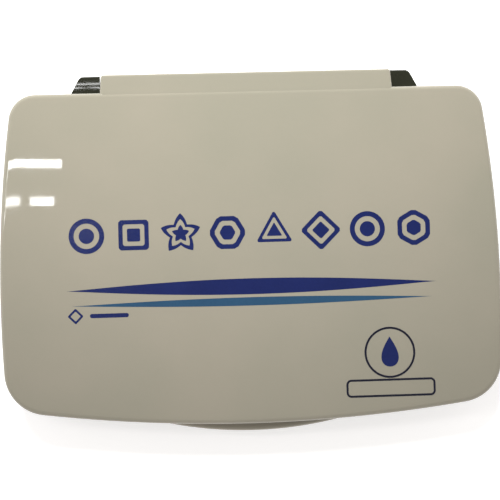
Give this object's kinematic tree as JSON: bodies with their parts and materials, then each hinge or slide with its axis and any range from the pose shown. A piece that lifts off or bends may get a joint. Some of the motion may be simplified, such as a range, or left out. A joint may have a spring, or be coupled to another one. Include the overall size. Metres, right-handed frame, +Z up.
{
  "type": "ink pad",
  "caption": "Hinged stamp ink pad: a pale flip lid with a thumb lip over a dark base that holds a framed, cloth-covered felt pad.",
  "frame": {"origin": "middle of the closed case's footprint, on the surface that the feet stand on", "axes": "+X along the case's width to the right, +Y towards the hinge at the rear, +Z up through the lid"},
  "size_m": [0.12, 0.0877, 0.02],
  "materials": {
    "lid_plastic": "glossy injection-moulded warm grey-beige",
    "base_plastic": "glossy dark olive-grey plastic",
    "frame_plastic": "fine matte texture",
    "tray_plastic": "natural, slightly translucent",
    "liner_plastic": "satin",
    "ink_felt": "needled felt soaked in ink",
    "ink_cloth": "fine plain weave wet with ink",
    "gasket_rubber": "matte",
    "foot_rubber": "matte",
    "pin_steel": "drawn",
    "label_paper": "uncoated sticker"
  },
  "bodies": {
    "base": {"base_shell": "base_plastic", "pad_tray": "tray_plastic", "ink_sponge": "ink_felt", "felt_pad": "ink_felt", "pad_cloth": "ink_cloth", "cloth_frame": "frame_plastic", "hinge_pin_left": "pin_steel", "hinge_pin_right": "pin_steel", "rubber_foot_front_left": "foot_rubber", "rubber_foot_front_right": "foot_rubber", "rubber_foot_rear_left": "foot_rubber", "rubber_foot_rear_right": "foot_rubber", "bottom_label": "label_paper"},
    "lid": {"lid_shell": "lid_plastic", "lid_liner": "liner_plastic", "lid_gasket": "gasket_rubber"}
  },
  "joints": [
    {"name": "lid_hinge", "type": "hinge", "parent": "base", "child": "lid", "pos_m": [0, 0.04195, 0.0102], "axis": [-1, 0, 0], "range_deg": [0, 180]}
  ]
}
